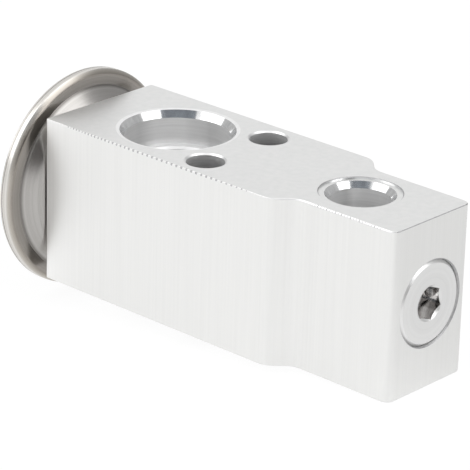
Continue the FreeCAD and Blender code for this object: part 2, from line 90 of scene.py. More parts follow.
# Row of small tool marks on the near edge of the front face, further apart away from the head
MARK_DEPTH = 0.26
MARK_START_X = -25.8
MARK_END_X = 17.5
FIRST_MARK_PITCH = 0.6
LAST_MARK_PITCH = 1.06
MARK_PITCH_RUN = 17.0
MARK_SHARE = 0.42

# Finer and shallower marks on the same edge of the narrow end
FINE_MARK_START_X = 24.0
FINE_MARK_END_X = 37.5
FINE_MARK_DEPTH = 0.35 * MARK_DEPTH
FINE_MARKS_PER_MM = 1.7

# Distance between points of the block's outline where the marks are
PLAN_STEP = 0.08


def mark_places():
    """Middles and widths of the tool marks."""
    places = []
    x = MARK_START_X
    while x < MARK_END_X:
        run = min(1, (x - MARK_START_X) / MARK_PITCH_RUN)
        pitch = FIRST_MARK_PITCH + (LAST_MARK_PITCH - FIRST_MARK_PITCH) * run
        places.append((x, MARK_SHARE * pitch))
        x += pitch
    return places


MARKS = mark_places()


def mesh(name, corners, faces, material, body, smooth_angle=30):
    """Piece from corners in millimetres, shaded smooth up to an angle."""
    data = bpy.data.meshes.new(name)
    data.from_pydata([[value * MM for value in corner] for corner in corners], [], faces)
    piece = bpy.data.objects.new(name, data)
    bpy.context.scene.collection.objects.link(piece)
    for one in material if isinstance(material, list) else [material]:
        data.materials.append(one)
    finish_mesh(data, smooth_angle)
    if body:
        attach(piece, body)
    return piece


def finish_mesh(data, smooth_angle):
    work = bmesh.new()
    work.from_mesh(data)
    bmesh.ops.recalc_face_normals(work, faces=work.faces)
    work.to_mesh(data)
    work.free()
    data.shade_smooth()
    data.set_sharp_from_angle(angle=math.radians(smooth_angle))


def arc_points(centre, radius, start, end, steps):
    """Points of an arc in a plane, angles in degrees."""
    points = []
    for step in range(steps + 1):
        angle = math.radians(start + (end - start) * step / steps)
        points.append((centre[0] + radius * math.cos(angle), centre[1] + radius * math.sin(angle)))
    return points


def rounded(points, radii, steps=5):
    """Open line of (x, radius) points whose corners are rounded by the radii between its ends."""
    places = [Vector(point) for point in points]
    line = [tuple(places[0])]
    for before, corner, after, radius in zip(places, places[1:], places[2:], radii):
        arrive = (corner - before).normalized()
        leave = (after - corner).normalized()
        turn = arrive.angle(leave)
        if radius == 0 or turn < 0.01:
            line.append(tuple(corner))
            continue
        longest = 0.48 * min((corner - before).length, (after - corner).length)
        set_back = min(radius * math.tan(turn / 2), longest)
        bend = set_back / math.tan(turn / 2)
        inward = (leave - arrive).normalized()
        centre = corner + inward * (bend / math.cos(turn / 2))
        first = corner - arrive * set_back - centre
        way = 1 if arrive.x * leave.y - arrive.y * leave.x > 0 else -1
        for step in range(steps + 1):
            angle = way * turn * step / steps
            spun = Matrix.Rotation(angle, 2) @ first
            line.append(tuple(centre + spun))
    line.append(tuple(places[-1]))
    return line


def turned(profile, about, steps=ROUND_STEPS, closed=True):
    """Corners and faces of a profile of (along, radius) pairs turned about an axis.

    about is (origin, axis, across): a point of the axis and two unit vectors.
    """
    origin, axis, across = (Vector(part) for part in about)
    other = axis.cross(across)
    corners = []
    rings = []
    for along, radius in profile:
        if radius < 1e-6:
            corners.append(origin + axis * along)
            rings.append([len(corners) - 1] * steps)
            continue
        ring = []
        for step in range(steps):
            angle = 2 * math.pi * step / steps
            out = across * math.cos(angle) + other * math.sin(angle)
            corners.append(origin + axis * along + out * radius)
            ring.append(len(corners) - 1)
        rings.append(ring)
    pairs = list(zip(rings, rings[1:] + rings[:1])) if closed else list(zip(rings, rings[1:]))
    faces = []
    for ring, following in pairs:
        for step in range(steps):
            after = (step + 1) % steps
            corner = [ring[step], ring[after], following[after], following[step]]
            corner = [one for place, one in enumerate(corner) if one not in corner[:place]]
            if len(corner) > 2:
                faces.append(corner)
    return corners, faces


VALVE_AXIS = ((0, 0, AXIS_Z), (1, 0, 0), (0, 0, 1))


# Materials

GRAIN_DEPTH = 0.02 * MM
EVEN_GRAIN = (900, 900, 900)

# Level direction across the camera's view
ACROSS_VIEW = (0.742, 0.67, 0)


def tree_of(name, colour, roughness, metallic=1.0, **sockets):
    """New material, its node tree and its shader, with plain values on the shader's own sockets."""
    material = bpy.data.materials.new(name)
    material.use_nodes = True
    tree = material.node_tree
    shader = tree.nodes["Principled BSDF"]
    shader.inputs["Base Color"].default_value = (*colour, 1)
    shader.inputs["Roughness"].default_value = roughness
    shader.inputs["Metallic"].default_value = metallic
    for socket, value in sockets.items():
        shader.inputs[socket.replace("_", " ")].default_value = value
    return material, tree, shader


def node(tree, kind, **values):
    made = tree.nodes.new(kind)
    for name, value in values.items():
        if name in made.inputs.keys():
            made.inputs[name].default_value = value
        else:
            setattr(made, name, value)
    return made


def stretched_noise(tree, scale):
    """Noise over the object's own places, in features per metre along X, Y and Z."""
    place = node(tree, "ShaderNodeTexCoord")
    stretch = node(tree, "ShaderNodeMapping")
    stretch.inputs["Scale"].default_value = scale
    noise = node(tree, "ShaderNodeTexNoise", Scale=1.0, Detail=2.0)
    tree.links.new(place.outputs["Object"], stretch.inputs["Vector"])
    tree.links.new(stretch.outputs["Vector"], noise.inputs["Vector"])
    return noise.outputs["Fac"]


def axis_distance(tree, axis_place):
    """Distance from a line along X through a place, and how far along X, both in metres."""
    place = node(tree, "ShaderNodeTexCoord")
    shift = node(tree, "ShaderNodeVectorMath", operation="SUBTRACT")
    shift.inputs[1].default_value = axis_place
    flat = node(tree, "ShaderNodeVectorMath", operation="MULTIPLY")
    flat.inputs[1].default_value = (0, 1, 1)
    length = node(tree, "ShaderNodeVectorMath", operation="LENGTH")
    parts = node(tree, "ShaderNodeSeparateXYZ")
    tree.links.new(place.outputs["Object"], shift.inputs[0])
    tree.links.new(shift.outputs[0], flat.inputs[0])
    tree.links.new(flat.outputs[0], length.inputs[0])
    tree.links.new(place.outputs["Object"], parts.inputs[0])
    return length.outputs["Value"], parts.outputs["X"]


def radius_noise(tree, axis_place, scale):
    """Noise that makes rings about a line along X."""
    distance, along = axis_distance(tree, axis_place)
    join = node(tree, "ShaderNodeCombineXYZ")
    noise = node(tree, "ShaderNodeTexNoise", Scale=scale, Detail=2.0)
    tree.links.new(distance, join.inputs["X"])
    tree.links.new(along, join.inputs["Y"])
    tree.links.new(join.outputs[0], noise.inputs["Vector"])
    return noise.outputs["Fac"]


def tone_along(material, value, marks):
    """Multiplies the base colour by tones given at places, in millimetres, of a value in metres."""
    tree = material.node_tree
    shader = tree.nodes["Principled BSDF"]
    first, last = marks[0][0], marks[-1][0]
    reach = node(tree, "ShaderNodeMapRange")
    reach.inputs["From Min"].default_value = first * MM
    reach.inputs["From Max"].default_value = last * MM
    ramp = node(tree, "ShaderNodeValToRGB")
    ends = ramp.color_ramp.elements
    for place, _ in marks[1:-1]:
        ends.new((place - first) / (last - first))
    for end, (_, tone) in zip(sorted(ends, key=lambda one: one.position), marks):
        end.color = (*tone, 1)
    blend = node(tree, "ShaderNodeVectorMath", operation="MULTIPLY")
    base = shader.inputs["Base Color"].links[0].from_socket
    tree.links.new(value, reach.inputs["Value"])
    tree.links.new(reach.outputs[0], ramp.inputs["Fac"])
    tree.links.new(base, blend.inputs[0])
    tree.links.new(ramp.outputs["Color"], blend.inputs[1])
    tree.links.new(blend.outputs[0], shader.inputs["Base Color"])


def ring_tint(material, marks):
    """Tones at radii from the valve axis."""
    distance, _ = axis_distance(material.node_tree, (0, 0, AXIS_Z * MM))
    tone_along(material, distance, marks)


def way_tint(material, way, marks):
    """Tones at places along a direction through the frame's origin."""
    tree = material.node_tree
    place = node(tree, "ShaderNodeTexCoord")
    reach = node(tree, "ShaderNodeVectorMath", operation="DOT_PRODUCT")
    reach.inputs[1].default_value = way
    tree.links.new(place.outputs["Object"], reach.inputs[0])
    tone_along(material, reach.outputs["Value"], marks)


def greys(marks):
    """Grey tones at places, from plain numbers."""
    return [(place, (tone, tone, tone)) for place, tone in marks]


def bump(tree, shader, height, strength):
    made = node(tree, "ShaderNodeBump", Strength=strength, Distance=GRAIN_DEPTH)
    tree.links.new(height, made.inputs["Height"])
    tree.links.new(made.outputs["Normal"], shader.inputs["Normal"])


def tint(tree, shader, factor, dark, light):
    """Base colour between two tones."""
    ramp = node(tree, "ShaderNodeValToRGB")
    ramp.color_ramp.elements[0].position = 0.3
    ramp.color_ramp.elements[1].position = 0.7
    ramp.color_ramp.elements[0].color = (*dark, 1)
    ramp.color_ramp.elements[1].color = (*light, 1)
    tree.links.new(factor, ramp.inputs["Fac"])
    tree.links.new(ramp.outputs["Color"], shader.inputs["Base Color"])


def metal(name, dark, light, roughness, scale, strength, **sockets):
    """Metal with a grain whose features per metre along X, Y and Z are given by scale."""
    material, tree, shader = tree_of(name, light, roughness, **sockets)
    grain = stretched_noise(tree, scale)
    tint(tree, shader, grain, dark, light)
    bump(tree, shader, grain, strength)
    return material


def turned_metal(name, dark, light, roughness, scale, strength, **sockets):
    """Metal with rings about the valve axis, scale being rings per metre."""
    material, tree, shader = tree_of(name, light, roughness, **sockets)
    grain = radius_noise(tree, (0, 0, AXIS_Z * MM), scale)
    tint(tree, shader, grain, dark, light)
    bump(tree, shader, grain, strength)
    return material


drawn = metal("block_drawn", (0.93, 0.93, 0.918), (0.958, 0.958, 0.946), 0.37, (2600, 2600, 30), 0.05)
# Painted light: the block's outside is lighter towards the head end, against the shade that falls near the
# head
way_tint(drawn, (1, 0, 0), greys([(-31.0, 0.96), (-26.0, 0.91), (-20.0, 0.875), (41.0, 0.868)]))
faced = metal("block_faced", (0.78, 0.785, 0.78), (0.82, 0.82, 0.815), 0.38, EVEN_GRAIN, 0.05)
# Dark finish that is painted shade: thin dark lines for the shadowed inlet step, the gap round the plug and
# the plug end's top edge, and shade in the tool marks
shade_paint = metal("block_shade_paint", (0.4, 0.4, 0.405), (0.5, 0.5, 0.505), 0.5, (1500, 1500, 1500), 0.2)
polished = metal("block_chamfer", (0.72, 0.725, 0.73), (0.9, 0.905, 0.91), 0.11, (900, 900, 60), 0.04)
# Deburred edges, whose lighter colour is a painted highlight
deburr_and_highlight = metal("block_deburr_and_highlight", (0.88, 0.88, 0.88), (0.95, 0.95, 0.95), 0.3, EVEN_GRAIN, 0.05)
drilled = metal("block_drilled", (0.78, 0.78, 0.78), (0.98, 0.98, 0.98), 0.5, (150, 150, 2400), 0.9)

# The port walls get painted light along a line across the camera's view: a painted highlight in the middle of
# the suction port's wall, painted shade at its sides, and the inlet's wall painted darker with a painted
# light band
SUCTION_PAINTED_LIGHT = [(-18.4, 0.6), (-16.0, 0.66), (-14.6, 0.83), (-13.4, 0.97), (-12.0, 1), (-8.9, 1),
                 (-7.9, 0.94), (-6.5, 0.93), (-5.3, 0.87), (-4.6, 0.77), (-1.0, 0.74)]
INLET_PAINTED_LIGHT = [(14.0, 0.78), (17.0, 0.7), (18.2, 0.94), (19.4, 0.92), (21.5, 0.86), (24.0, 0.73)]
bored = metal("block_bore", (0.88, 0.88, 0.88), (1.0, 1.0, 1.0), 0.42, (60, 60, 2400), 0.42, metallic=0.5)
way_tint(bored, ACROSS_VIEW, greys(SUCTION_PAINTED_LIGHT + INLET_PAINTED_LIGHT))

plug_face = turned_metal("plug_turned", (0.77, 0.77, 0.765), (0.83, 0.83, 0.825), 0.36, 1600, 0.08)
socket_metal = metal("socket_broached", (0.86, 0.855, 0.85), (0.96, 0.955, 0.95), 0.13, (60, 1500, 1500), 0.1)
# Painted light in the key's socket: bands along Z of painted shade and painted highlight on its walls
SOCKET_PAINTED_LIGHT = [(11.0, (0.9, 0.9, 0.9)), (12.1, (0.85, 0.85, 0.85)), (12.35, (0.52, 0.51, 0.505)),
                (14.2, (0.62, 0.61, 0.605)), (14.4, (1, 1, 1)), (15.0, (1, 1, 1)),
                (15.25, (0.55, 0.54, 0.535)), (17.2, (0.62, 0.61, 0.605))]
way_tint(socket_metal, (0, 0, 1), SOCKET_PAINTED_LIGHT)

# Painted light on the head: painted shade on its cone and flange, darkest in a painted dark line at the
# cone's foot, and a painted highlight that makes its rim the lightest ring
head_metal = turned_metal("head_brushed", (0.78, 0.765, 0.745), (0.96, 0.945, 0.925), 0.25, 2200, 0.16)
HEAD_PAINTED_LIGHT = [(12.0, (0.51, 0.505, 0.5)), (14.0, (0.5, 0.495, 0.49)), (15.5, (0.5, 0.493, 0.486)),
              (15.85, (0.22, 0.213, 0.206)), (16.2, (0.33, 0.315, 0.302)), (17.3, (0.38, 0.362, 0.344)),
              (17.8, (0.37, 0.347, 0.32)), (18.3, (0.6, 0.575, 0.535)), (18.5, (0.78, 0.77, 0.75)),
              (19.0, (0.8, 0.79, 0.77))]
ring_tint(head_metal, HEAD_PAINTED_LIGHT)

spring_metal = metal("spring_bright", (0.42, 0.42, 0.43), (0.5, 0.5, 0.51), 0.3, EVEN_GRAIN, 0.05)
turned_steel = metal("steel_turned", (0.48, 0.47, 0.46), (0.56, 0.55, 0.54), 0.3, (2500, 200, 200), 0.1)
ball_metal = metal("ball_polished", (0.58, 0.58, 0.6), (0.62, 0.62, 0.64), 0.08, (300, 300, 300), 0.02)
rod_metal = metal("rod_turned", (0.7, 0.7, 0.69), (0.78, 0.78, 0.77), 0.32, (2600, 150, 150), 0.15)
rubber = metal("seal_rubber", (0.018, 0.02, 0.018), (0.026, 0.028, 0.026), 0.5, EVEN_GRAIN, 0.1, metallic=0.0)


# The block


def waist():
    """Near side of the block's plan from the head to the plug end, as (x, half width)."""
    step = WIDE - NARROW
    reach = WAIST_RADIUS * math.sin(WAIST_ANGLE)
    sag = WAIST_RADIUS * (1 - math.cos(WAIST_ANGLE))
    run = (step - 2 * sag) / math.tan(WAIST_ANGLE)
    end_x = WAIST_START_X + 2 * reach + run
    first = arc_points((WAIST_START_X, WIDE - WAIST_RADIUS), WAIST_RADIUS, 90, 45, 14)
    second = arc_points((end_x, NARROW + WAIST_RADIUS), WAIST_RADIUS, 225, 270, 14)
    return first + second


def spread(start, end, step):
    """Evenly spaced numbers from start up to, not including, end."""
    count = max(1, round(abs(end - start) / step))
    return [start + (end - start) * number / count for number in range(count)]


def block_plan():
    """Outline of the block seen from the front, as (x, y) points, close together on the near side."""
    radius = HEAD_CORNER_RADIUS
    side = arc_points((HEAD_END_X + radius, WIDE - radius), radius, 180, 90, 6)
    side += [(x, WIDE) for x in spread(HEAD_END_X + radius, WAIST_START_X, PLAN_STEP)[1:]]
    side += waist()
    radius = PLUG_CORNER_RADIUS
    side += [(x, NARROW) for x in spread(side[-1][0], PLUG_END_X - radius, PLAN_STEP)[1:]]
    side += arc_points((PLUG_END_X - radius, NARROW - radius), radius, 90, 0, 12)
    near = [(x, -y) for x, y in side]
    return near + side[::-1]


def mark(x, y):
    """How much deeper the edge break is at a place: a row of small marks on the near edge."""
    if y > -NARROW + 0.01:
        return 0.0
    if FINE_MARK_START_X < x < FINE_MARK_END_X:
        return FINE_MARK_DEPTH * max(0, math.cos(2 * math.pi * FINE_MARKS_PER_MM * x))
    for middle, width in MARKS:
        if abs(x - middle) < width / 2:
            share = (x - MARK_START_X) / (MARK_END_X - MARK_START_X)
            fade = min(1, 0.45 + 4 * share, 3 * (1 - share))
            return MARK_DEPTH * fade * min(1, 3 - 6 * abs(x - middle) / width)
    return 0.0


def front_break(x):
    """Size of the front face's edge break: sharp along the wide part and the head end."""
    if x > PLUG_END_X - 0.01:
        return END_EDGE
    if x > PLUG_END_X - PLUG_CORNER_RADIUS:
        share = (PLUG_END_X - x) / PLUG_CORNER_RADIUS
        return END_EDGE + (FRONT_EDGE - END_EDGE) * min(1, 1.5 * share)
    rise = (x - MARK_END_X) / 1.5
    return SHARP_EDGE + (FRONT_EDGE - SHARP_EDGE) * min(1, max(0, rise))


def block_shell():
    plan = block_plan()
    count = len(plan)
    inward = []
    for place in range(count):
        before = Vector(plan[place - 1])
        after = Vector(plan[(place + 1) % count])
        along = (after - before).normalized()
        inward.append(Vector((-along.y, along.x)))
    steps = 5
    levels = []
    for step in range(steps + 1):
        angle = math.radians(90 * step / steps)
        levels.append((1 - math.sin(angle), 1 - math.cos(angle)))
    corners = []
    for drop, inset in levels[::-1]:
        for (x, y), way in zip(plan, inward):
            shift = inset * EDGE_BREAK
            corners.append((x + way.x * shift, y + way.y * shift, drop * EDGE_BREAK))
    for drop, inset in levels:
        for (x, y), way in zip(plan, inward):
            size = front_break(x) + mark(x, y)
            shift = inset * size
            corners.append((x + way.x * shift, y + way.y * shift, BLOCK_THICKNESS - drop * size))
    rows = 2 * (steps + 1)
    faces = [list(range(count))[::-1], [(rows - 1) * count + place for place in range(count)]]
    for row in range(rows - 1):
        for place in range(count):
            after = (place + 1) % count
            faces.append([row * count + place, row * count + after,
                          (row + 1) * count + after, (row + 1) * count + place])
    return corners, faces


def port(x, y, steps, from_front):
    """Tool for a port: (diameter, depth) steps below a face."""
    up = 1 if from_front else -1
    face_z = BLOCK_THICKNESS if from_front else 0.0
    profile = [(1.0, 0), (1.0, steps[0][0] / 2)]
    profile += [(-depth, diameter / 2) for diameter, depth in steps]
    profile.append((-steps[-1][1], 0))
    return turned(profile, ((x, y, face_z), (0, 0, up), (1, 0, 0)), closed=False)


def along_axis(profile):
    return turned(profile, VALVE_AXIS, closed=False)


def block_tools():
    """Tools that cut the block: ports, bolt holes, then the bores on the valve axis."""
    tools = [port(SUCTION_X, 0, SUCTION_WALL, True), port(SUCTION_X, 0, SUCTION_WALL, False),
             port(INLET_X, 0, INLET_WALL, True), port(OUTLET_X, 0, OUTLET_WALL, False)]
    for side in (-1, 1):
        for from_front in (True, False):
            tools.append(port(0, side * BOLT_Y, BOLT_WALL, from_front))
    return tools + [along_axis(bore) for bore in (HEAD_BORE, ROD_BORE, PLUG_BORE)]


# Sharpest bend, in degrees, that is shaded smooth on a piece that was cut
CUT_SMOOTH_ANGLE = 24


def cut(piece, tools):
    """Cuts tools, given as corners and faces, out of a piece."""
    for corners, faces in tools:
        tool = mesh("tool", corners, faces, bored, None)
        difference = piece.modifiers.new("cut", "BOOLEAN")
        difference.operation = "DIFFERENCE"
        difference.solver = "EXACT"
        difference.object = tool
        bpy.context.view_layer.objects.active = piece
        bpy.ops.object.modifier_apply(modifier=difference.name)
        bpy.data.objects.remove(tool)


def finish_cut(piece, materials, finish_of):
    """Paints the faces of a piece that was cut, then sets its sharp edges and normals.

    Weighted normals keep large flats flat beside their rounded edges.
    """
    data = piece.data
    data.materials.clear()
    for one in materials:
        data.materials.append(one)
    for face in data.polygons:
        face.material_index = finish_of(*(value / MM for value in face.center), face.normal)
    data.set_sharp_from_angle(angle=math.radians(CUT_SMOOTH_ANGLE))
    weighted = piece.modifiers.new("weighted", "WEIGHTED_NORMAL")
    weighted.keep_sharp = True
    bpy.context.view_layer.objects.active = piece
    bpy.ops.object.modifier_apply(modifier=weighted.name)


# The block's finishes by slot, among them a dark painted shade and a deburred finish with a painted highlight
BLOCK_FINISHES = [drawn, faced, polished, bored, drilled, shade_paint, deburr_and_highlight]
DRAWN, FACED, POLISHED, BORED, DRILLED, PAINTED_SHADE, DEBURR_AND_HIGHLIGHT = range(7)

# Part of a unit normal along Z from which a face counts as flat
FLAT = 0.99

# How far a face's middle may lie from a size, the strip along an edge that its break may take, and the
# depth that the ports' chamfers stay above
SLACK = 0.05
EDGE_STRIP = 0.3
CHAMFER_DEPTH = 1.35

# Distances from the inlet's axis between which its shallow seat is faced
SEAT_START = 5.7
SEAT_END = 6.4


def in_ring(distance, wall, outer, inner):
    """Whether a distance from a port's axis lies between two steps of its wall."""
    return wall[inner][0] / 2 + SLACK < distance < wall[outer][0] / 2 + SLACK


def in_mouth(distance, depth, wall):
    """Whether a place lies on a port's chamfer."""
    return distance < wall[0][0] / 2 and depth < CHAMFER_DEPTH


def on_marked_edge(x, y, z):
    """Whether a place lies in a tool mark of the near edge."""
    on_edge = y < -WIDE + 0.4 or (x > MARK_END_X and abs(y + NARROW) < 0.4)
    return on_edge and 0.01 < BLOCK_THICKNESS - z < 0.4 and mark(x, -WIDE) > 0.3 * MARK_DEPTH


def inside_block(x, y, depth):
    """Whether a place lies on the wall of a bore and not on the block's outside."""
    in_corner = x > PLUG_END_X - PLUG_CORNER_RADIUS - 0.1
    reach = (PLUG_BORE_RADIUS if in_corner else NARROW - 2 * EDGE_STRIP) + EDGE_STRIP
    return abs(y) < reach and HEAD_END_X + 0.01 < x < PLUG_END_X - 0.15 and depth > 0.02


def block_finish(x, y, z, normal):
    """Finish of the cut that made a face of the block, or a painted shade or highlight, from the face's
    middle and normal.
    """
    depth = min(z, BLOCK_THICKNESS - z)
    below_front = BLOCK_THICKNESS - z
    from_suction = math.hypot(x - SUCTION_X, y)
    from_inlet = math.hypot(x - INLET_X, y)
    from_outlet = math.hypot(x - OUTLET_X, y)
    from_bolt = math.hypot(x, abs(y) - BOLT_Y)
    from_axis = math.hypot(y, z - AXIS_Z)
    if depth < 0.06 and abs(normal.z) > FLAT:
        return FACED
    # Deburred rim of the suction port, with a painted highlight
    if in_ring(from_suction, SUCTION_WALL, 0, 1) and depth < SUCTION_WALL[1][1]:
        return DEBURR_AND_HIGHLIGHT
    # Painted shade: a dark line on the plug end's top edge
    if x > PLUG_END_X - EDGE_STRIP and below_front < EDGE_STRIP and 0.1 < normal.x < 0.97:
        return PAINTED_SHADE
    # Painted shadow on the inlet's step
    if in_ring(from_inlet, INLET_WALL, 0, 1) and depth < 0.2:
        return PAINTED_SHADE
    if SEAT_START < from_inlet < SEAT_END and abs(depth - INLET_WALL[3][1]) < SLACK:
        return FACED
    # Painted shade in the gap round the plug
    if x > PLUG_END_X - EDGE_STRIP and -0.1 < from_axis - PLUG_BORE_RADIUS < 0.25 and abs(normal.x) < 0.9:
        return PAINTED_SHADE
    # Painted shade in the tool marks
    if on_marked_edge(x, y, z):
        return PAINTED_SHADE
    # Deburred near edge of the narrow end, with a painted highlight
    on_near_edge = y < -NARROW + EDGE_STRIP and below_front < EDGE_STRIP
    if x > WAIST_START_X + 1 and on_near_edge and SLACK < normal.z < FLAT:
        return DEBURR_AND_HIGHLIGHT
    if from_bolt < BOLT_RADIUS + 0.1:
        return DRILLED
    # Deburred rims of the bolt holes, with a painted highlight
    if from_bolt < BOLT_RADIUS + 0.5 and depth < 0.5:
        return DEBURR_AND_HIGHLIGHT
    if in_mouth(from_suction, depth, SUCTION_WALL) or in_mouth(from_outlet, z, OUTLET_WALL):
        return POLISHED
    if in_mouth(from_inlet, below_front, INLET_WALL):
        return POLISHED
    return BORED if inside_block(x, y, depth) else DRAWN


def valve_block():
    corners, faces = block_shell()
    block = mesh("block", corners, faces, BLOCK_FINISHES, "block")
    cut(block, block_tools())
    finish_cut(block, BLOCK_FINISHES, block_finish)
    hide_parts("valve_block")


# The power head

RIM_RADIUS = 18.56
DOME_FOOT_RADIUS = 15.96
NECK_RADIUS = 8.95
NECK_HOLLOW_RADIUS = 6.5
NECK_START_X = -31.1
NECK_END_X = -24.6
HEAD_BACK_X = -39.35
FILL_HOLE_RADIUS = 1.2
HEAD_STEPS = 192
HEAD_SMOOTH_ANGLE = 35


def head_cover(name, profile, node_name):
    corners, faces = turned(profile, VALVE_AXIS, steps=HEAD_STEPS)
    cover = mesh(name, corners, faces, head_metal, "block", HEAD_SMOOTH_ANGLE)
    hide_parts(node_name)


def head_covers():
    """Front cover with its rim, cone and neck, and the domed back cover, as (x, radius) profiles."""
    front = rounded(
        [(-34.65, RIM_RADIUS), (-33.85, RIM_RADIUS), (-33.2, 17.8), (-33.18, 15.98), (-32.85, 15.6),
         (NECK_START_X, 13.1), (NECK_START_X, NECK_RADIUS), (NECK_END_X - 0.5, NECK_RADIUS),
         (NECK_END_X, NECK_RADIUS - 0.5), (NECK_END_X, NECK_HOLLOW_RADIUS)],
        [0.25, 0.8, 0.3, 0.4, 4.0, 0.1, 0.05, 0.05], steps=8)
    front += [(-32.67, NECK_HOLLOW_RADIUS), (-32.67, 13.1), (-34.65, DOME_FOOT_RADIUS)]
    head_cover("head_front_cover", front, "head_lower_cover")
    outside = rounded(
        [(-34.75, RIM_RADIUS), (-35.15, RIM_RADIUS), (-35.15, DOME_FOOT_RADIUS),
         (-37.55, DOME_FOOT_RADIUS - 1.9), (HEAD_BACK_X, 8.5), (HEAD_BACK_X, 3.8), (-38.45, 2.9),
         (-38.45, FILL_HOLE_RADIUS)],
        [0.15, 0.3, 1.6, 5.0, 0.9, 0.3])
    inside = rounded(
        [(-38.05, FILL_HOLE_RADIUS), (-38.05, 3.1), (-38.95, 4.0), (-38.95, 8.4), (-37.25, 13.75),
         (-34.75, 15.65)],
        [0.2, 0.4, 4.0, 1.0])
    head_cover("head_back_cover", outside + inside, "head_upper_cover")


# The adjusting plug

CUP_FLOOR_X = 35.1
CUP_RADIUS = 4.4
GUIDE_RADIUS = 5.95
GROOVE_RADIUS = 4.97
THREAD_RADIUS = 6.95
KEY_FLATS = 5.0
KEY_TURN = 10
SOCKET_FLOOR_X = 36.7
MOUTH_DEPTH = 0.3


def hexagon(flats, start, end, turn):
    radius = flats / math.sqrt(3)
    corners = []
    for x in (start, end):
        for side in range(6):
            angle = math.radians(60 * side + turn)
            corners.append((x, -radius * math.sin(angle), AXIS_Z + radius * math.cos(angle)))
    faces = [[5, 4, 3, 2, 1, 0], [6, 7, 8, 9, 10, 11]]
    faces += [[side, (side + 1) % 6, (side + 1) % 6 + 6, side + 6] for side in range(6)]
    return corners, faces


def plug_finish(x, y, z, normal):
    """Slot of a face of the plug: 1 in the key's socket, 0 elsewhere and on the socket's mouth."""
    inside = math.hypot(y, z - AXIS_Z) < 3.2 and x < PLUG_END_X - 0.001
    mouth = x > PLUG_END_X - MOUTH_DEPTH - 0.01 and normal.x > 0.5
    return 1 if inside and not mouth else 0


def adjusting_plug():
    """Plug with its cup, seal groove and thread, as an (x, radius) profile, and the key's socket."""
    body = rounded(
        [(31.4, CUP_RADIUS), (31.4, GUIDE_RADIUS), (32.15, GUIDE_RADIUS), (32.15, GROOVE_RADIUS),
         (33.18, GROOVE_RADIUS), (33.18, GUIDE_RADIUS), (34.9, GUIDE_RADIUS), (34.9, THREAD_RADIUS),
         (39.6, THREAD_RADIUS), (PLUG_END_X, THREAD_RADIUS - 0.5), (PLUG_END_X, 0)],
        [0.05, 0.05, 0, 0, 0.05, 0, 0.1, 0.08, 0.12], steps=4)
    body += [(CUP_FLOOR_X, 0), (CUP_FLOOR_X, CUP_RADIUS)]
    corners, faces = turned(body, VALVE_AXIS)
    plug = mesh("plug_body", corners, faces, plug_face, "plug")
    socket = hexagon(KEY_FLATS, SOCKET_FLOOR_X, PLUG_END_X + 1, KEY_TURN)
    mouth = along_axis([(PLUG_END_X - MOUTH_DEPTH, 0), (PLUG_END_X - MOUTH_DEPTH, KEY_FLATS / 2),
                        (PLUG_END_X, 2.95), (PLUG_END_X + 0.6, 3.85), (PLUG_END_X + 0.6, 0)])
    drill_tip = along_axis([(35.6, 0), (SOCKET_FLOOR_X, 2.3), (SOCKET_FLOOR_X + 0.1, 2.3),
                            (SOCKET_FLOOR_X + 0.1, 0)])
    cut(plug, [socket, mouth, drill_tip])
    finish_cut(plug, [plug_face, socket_metal], plug_finish)
    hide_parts("adjusting_plug")


# The superheat spring, in two halves of wire, one from the valve train's end and one from the plug's end

SPRING_START_X = 24.86
SPRING_END_X = CUP_FLOOR_X
SPRING_END_TURNS = 0.75
SPRING_OPEN_TURNS = 4
WIRE_RADIUS = 0.5
COIL_RADIUS = 3.7
CLOSED_PITCH = 1.02
OPEN_PITCH = 2.0525
TURN_STEPS = 32
WIRE_SIDES = 12


def wire_point(turn):
    """Middle of the wire at a number of turns from the valve end."""
    opened = min(max(turn - SPRING_END_TURNS, 0), SPRING_OPEN_TURNS)
    x = SPRING_START_X + WIRE_RADIUS / 2 + opened * OPEN_PITCH + (turn - opened) * CLOSED_PITCH
    angle = 2 * math.pi * turn
    return Vector((x, COIL_RADIUS * math.sin(angle), AXIS_Z - COIL_RADIUS * math.cos(angle)))


def spring_half(name, first, last):
    """Wire from one number of turns to another, its ends closed and ground flat."""
    corners = []
    faces = []
    steps = round((last - first) * TURN_STEPS)
    for step in range(steps + 1):
        turn = first + (last - first) * step / steps
        point = wire_point(turn)
        angle = 2 * math.pi * turn
        outward = Vector((0, math.sin(angle), -math.cos(angle)))
        along = (wire_point(turn + 0.002) - wire_point(turn - 0.002)).normalized()
        across = along.cross(outward).normalized()
        for side in range(WIRE_SIDES):
            about = 2 * math.pi * (side + 0.5) / WIRE_SIDES
            corner = point + (outward * math.cos(about) + across * math.sin(about)) * WIRE_RADIUS
            corner.x = min(max(corner.x, SPRING_START_X), SPRING_END_X)
            corners.append(corner)
    for step in range(steps):
        for side in range(WIRE_SIDES):
            after = (side + 1) % WIRE_SIDES
            near, far = step * WIRE_SIDES, (step + 1) * WIRE_SIDES
            faces.append([near + side, near + after, far + after, far + side])
    faces.append(list(range(WIRE_SIDES))[::-1])
    faces.append([steps * WIRE_SIDES + side for side in range(WIRE_SIDES)])
    half = mesh(name, corners, faces, spring_metal, None, 50)
    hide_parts("superheat_spring")
    return half


def superheat_spring():
    """Two halves, from the valve end to the middle and from the middle to the plug end, their turns opening
    out towards the middle.
    """
    half_turns = SPRING_END_TURNS + SPRING_OPEN_TURNS / 2
    valve_half = spring_half("spring_valve_half", 0, half_turns)
    plug_half = spring_half("spring_plug_half", half_turns, 2 * half_turns)
    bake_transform(valve_half)
    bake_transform(plug_half)


valve_block()
head_covers()
adjusting_plug()
superheat_spring()

